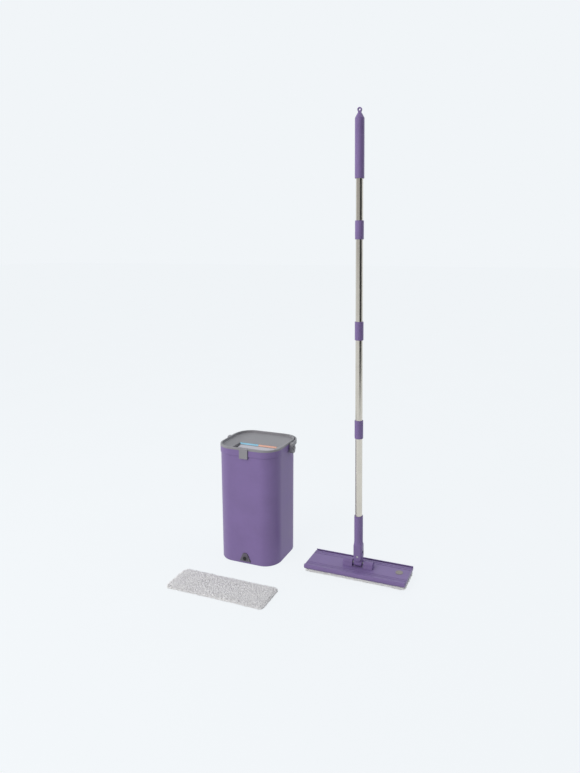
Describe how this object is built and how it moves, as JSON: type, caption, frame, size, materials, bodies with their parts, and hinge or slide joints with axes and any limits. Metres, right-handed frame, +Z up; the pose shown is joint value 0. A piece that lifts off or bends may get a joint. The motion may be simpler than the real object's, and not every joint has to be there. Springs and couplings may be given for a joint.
{
  "type": "flat mop and wringer bucket set",
  "caption": "Flat mop on a jointed pole beside its tall square wringer bucket with a slotted insert, folding bail and drain plug, and a spare flat pad.",
  "frame": {"origin": "centre of the bucket's underside, on the floor", "axes": "+Z up along the pole, -Y the bucket's front with the drain and latch, +X from the bucket to the mop"},
  "size_m": [0.6471, 0.391, 1.3654],
  "materials": {
    "purple_plastic": "moulded, fine matt grain",
    "purple_deep": "moulded, satin",
    "purple_grip": "satin moulded",
    "grey_plastic": "moulded, fine matt grain",
    "light_plastic": "smooth moulded",
    "white_plastic": "smooth moulded",
    "black_rubber": "matt",
    "lip_rubber": "matt",
    "stainless": "fine brushed along the tube",
    "pin_steel": "drawn",
    "label_blue": "printed film",
    "label_orange": "printed film",
    "badge_grey": "plain disc",
    "hook_tape": "woven hook tape",
    "pad_cloth": "knitted backing",
    "pad_pile": "microfibre loops"
  },
  "bodies": {
    "bucket": {"bucket_shell": "purple_plastic", "drain_bezel": "purple_deep", "bail_pin_right": "grey_plastic", "bail_pin_left": "grey_plastic"},
    "plug": {"drain_plug": "black_rubber"},
    "bail": {"bail": "grey_plastic"},
    "insert": {"top_frame": "grey_plastic", "guide_channel": "grey_plastic", "scraper_plate": "light_plastic", "scraper_lip": "lip_rubber", "label_wash": "label_blue", "label_dry": "label_orange", "axle_right": "pin_steel", "axle_left": "pin_steel", "latch_pin": "pin_steel"},
    "latch": {"front_latch": "grey_plastic"},
    "wheel_right": {"roller_right": "white_plastic"},
    "wheel_left": {"roller_left": "white_plastic"},
    "handle": {"tube_1": "stainless", "tube_2": "stainless", "tube_3": "stainless", "tube_4": "stainless", "collar_1": "purple_plastic", "collar_2": "purple_plastic", "collar_3": "purple_plastic", "joint_plug_1": "white_plastic", "joint_plug_2": "white_plastic", "joint_plug_3": "white_plastic", "grip": "purple_grip", "grip_cap": "purple_grip", "neck": "purple_plastic", "neck_pin": "pin_steel"},
    "hanger": {"hang_eye": "purple_plastic"},
    "cross": {"cross_piece": "purple_plastic", "trunnion_pin": "pin_steel"},
    "head": {"head_plate": "purple_plastic", "bearing_cap_right": "purple_plastic", "bearing_cap_left": "purple_plastic", "cap_screws": "pin_steel", "badge": "badge_grey", "hook_strips": "hook_tape", "pad_backing": "pad_cloth", "pad_pile": "pad_pile"},
    "spare_pad": {"spare_backing": "pad_cloth", "spare_pile": "pad_pile"}
  },
  "joints": [
    {"name": "insert_lift", "type": "slide", "parent": "bucket", "child": "insert", "axis": [0, 0, 1], "range_m": [0, 0.42]},
    {"name": "latch_swing", "type": "hinge", "parent": "insert", "child": "latch", "pos_m": [0, -0.089, 0.36], "axis": [-1, 0, 0], "range_deg": [0, 70]},
    {"name": "roller_right_spin", "type": "hinge", "parent": "insert", "child": "wheel_right", "pos_m": [0.058, -0.041, 0.316], "axis": [1, 0, 0], "continuous": true},
    {"name": "roller_left_spin", "type": "hinge", "parent": "insert", "child": "wheel_left", "pos_m": [-0.058, -0.041, 0.316], "axis": [1, 0, 0], "continuous": true},
    {"name": "bail_swing", "type": "hinge", "parent": "bucket", "child": "bail", "pos_m": [0, 0.02, 0.344], "axis": [1, 0, 0], "range_deg": [0, 115]},
    {"name": "drain_plug_pull", "type": "slide", "parent": "bucket", "child": "plug", "axis": [0, -1, 0], "range_m": [0, 0.03]},
    {"name": "mop_lift", "type": "slide", "parent": "bucket", "child": "handle", "axis": [0, 0, 1], "range_m": [0, 0.4]},
    {"name": "hanger_spin", "type": "hinge", "parent": "handle", "child": "hanger", "pos_m": [0.3428, -0.0165, 1.35], "axis": [0, 0, 1], "continuous": true},
    {"name": "head_roll", "type": "hinge", "parent": "handle", "child": "cross", "pos_m": [0.3428, -0.0165, 0.055], "axis": [0, 1, 0], "range_deg": [-90, 90]},
    {"name": "head_pitch", "type": "hinge", "parent": "cross", "child": "head", "pos_m": [0.3428, -0.0165, 0.0315], "axis": [1, 0, 0], "range_deg": [-65, 65]},
    {"name": "spare_pad_lift", "type": "slide", "parent": "bucket", "child": "spare_pad", "axis": [0, 0, 1], "range_m": [0, 0.2]}
  ]
}
